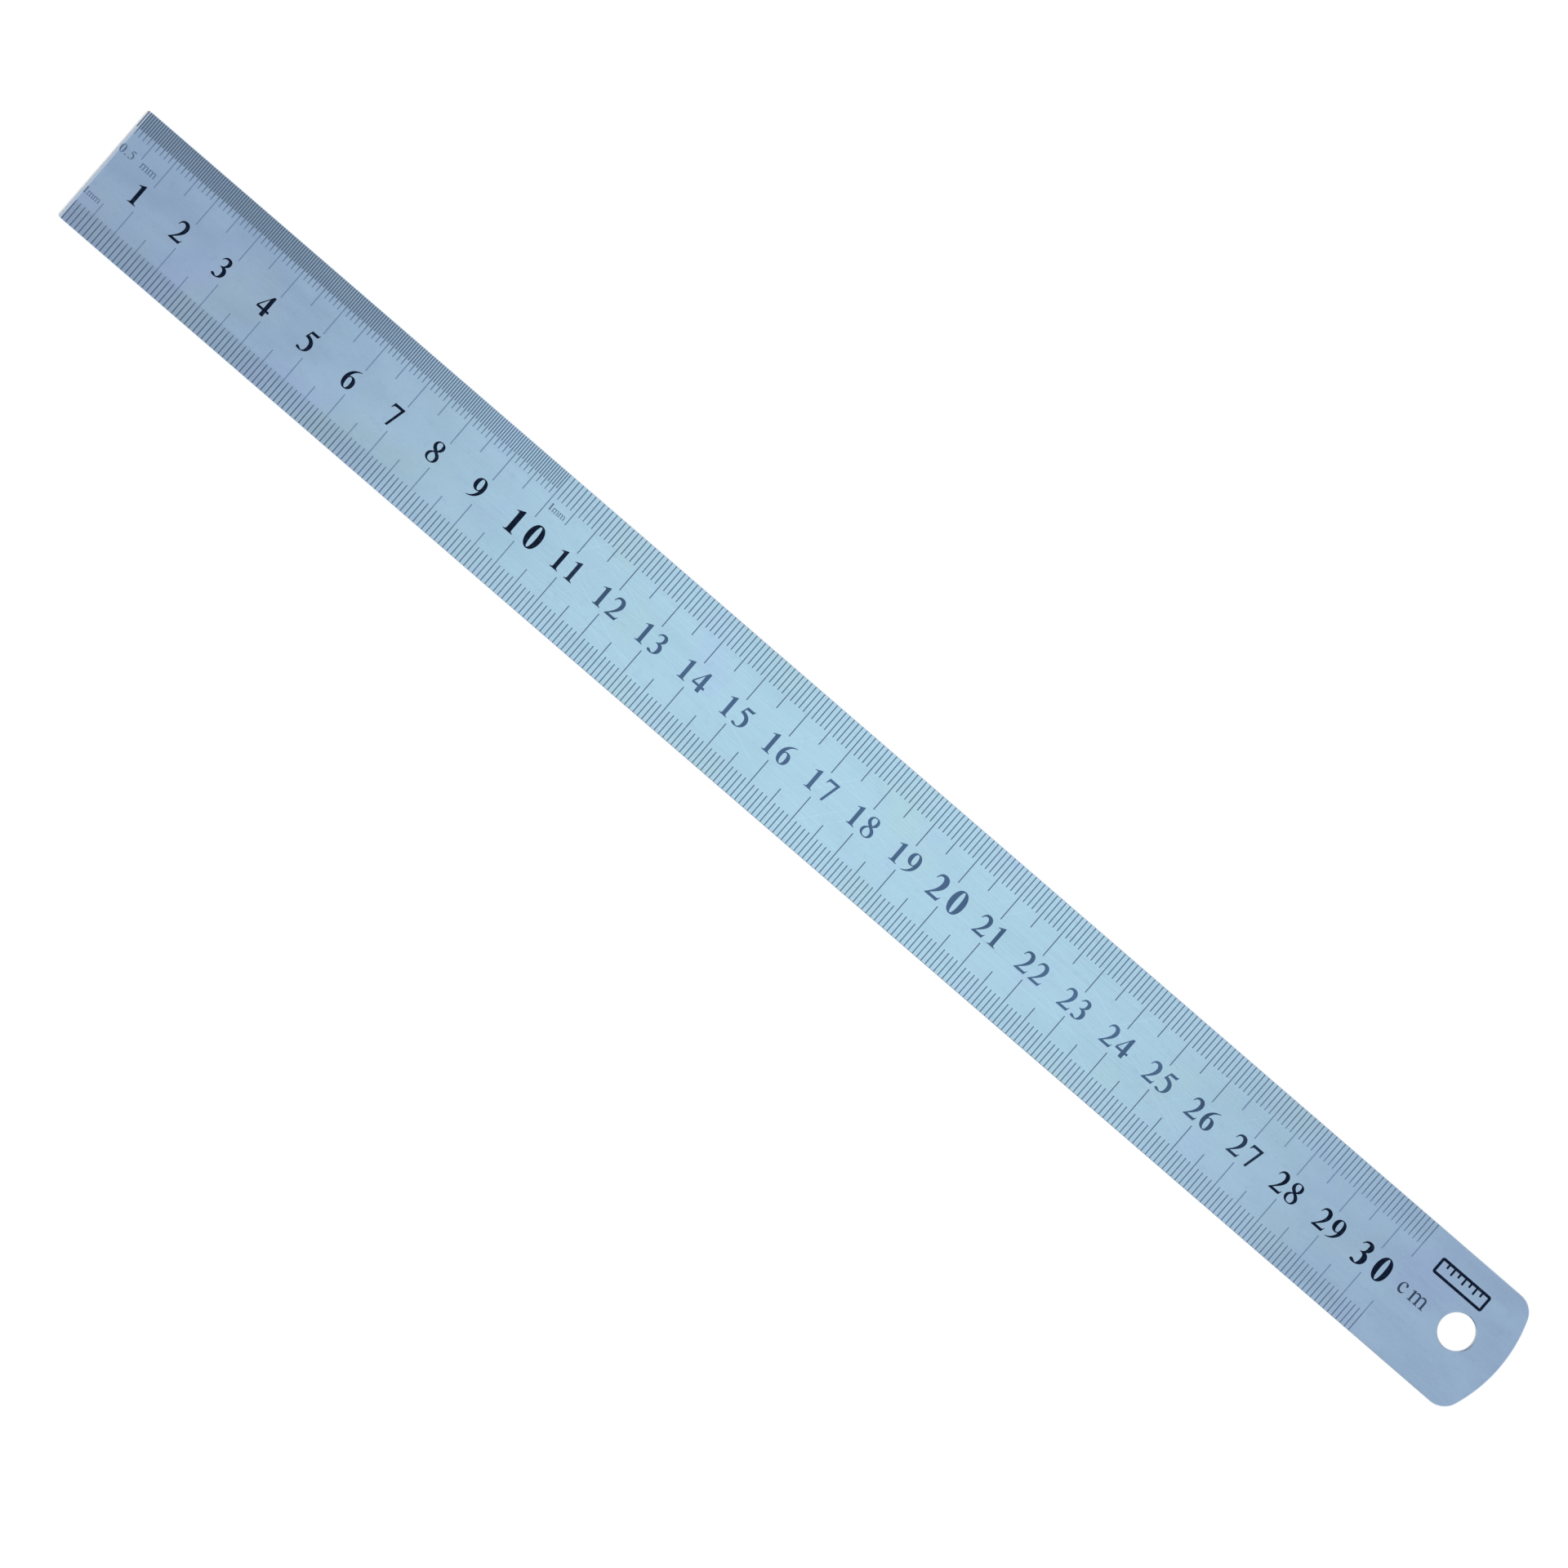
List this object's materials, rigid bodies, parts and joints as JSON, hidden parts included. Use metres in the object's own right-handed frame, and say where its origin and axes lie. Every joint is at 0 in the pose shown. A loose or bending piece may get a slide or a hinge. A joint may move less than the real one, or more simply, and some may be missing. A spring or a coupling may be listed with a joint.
{
  "type": "steel rule",
  "caption": "Flat steel rule with etched and enamelled millimetre and centimetre graduations, a square zero end and a round end with a hanging hole.",
  "frame": {"origin": "middle of the zero end's flat, at half the blade's thickness", "axes": "+X along the scale towards the hanging hole, +Y towards the edge divided in half millimetres, +Z out of the graduated face"},
  "size_m": [0.33, 0.025, 0.001],
  "materials": {
    "steel": "satin, ground along its length",
    "enamel": "baked black enamel, satin"
  },
  "bodies": {
    "root": {"blade": "steel", "centimetre_legend": "enamel", "half_millimetre_legend": "enamel", "half_millimetre_lines": "enamel", "lower_centimetre_lines": "enamel", "lower_five_millimetre_lines": "enamel", "lower_millimetre_legend": "enamel", "lower_millimetre_lines": "enamel", "maker_emblem": "enamel", "numeral_01": "enamel", "numeral_02": "enamel", "numeral_03": "enamel", "numeral_04": "enamel", "numeral_05": "enamel", "numeral_06": "enamel", "numeral_07": "enamel", "numeral_08": "enamel", "numeral_09": "enamel", "numeral_10": "enamel", "numeral_11": "enamel", "numeral_12": "enamel", "numeral_13": "enamel", "numeral_14": "enamel", "numeral_15": "enamel", "numeral_16": "enamel", "numeral_17": "enamel", "numeral_18": "enamel", "numeral_19": "enamel", "numeral_20": "enamel", "numeral_21": "enamel", "numeral_22": "enamel", "numeral_23": "enamel", "numeral_24": "enamel", "numeral_25": "enamel", "numeral_26": "enamel", "numeral_27": "enamel", "numeral_28": "enamel", "numeral_29": "enamel", "numeral_30": "enamel", "upper_centimetre_lines": "enamel", "upper_five_millimetre_lines": "enamel", "upper_millimetre_legend": "enamel", "upper_millimetre_lines": "enamel"}
  },
  "joints": []
}
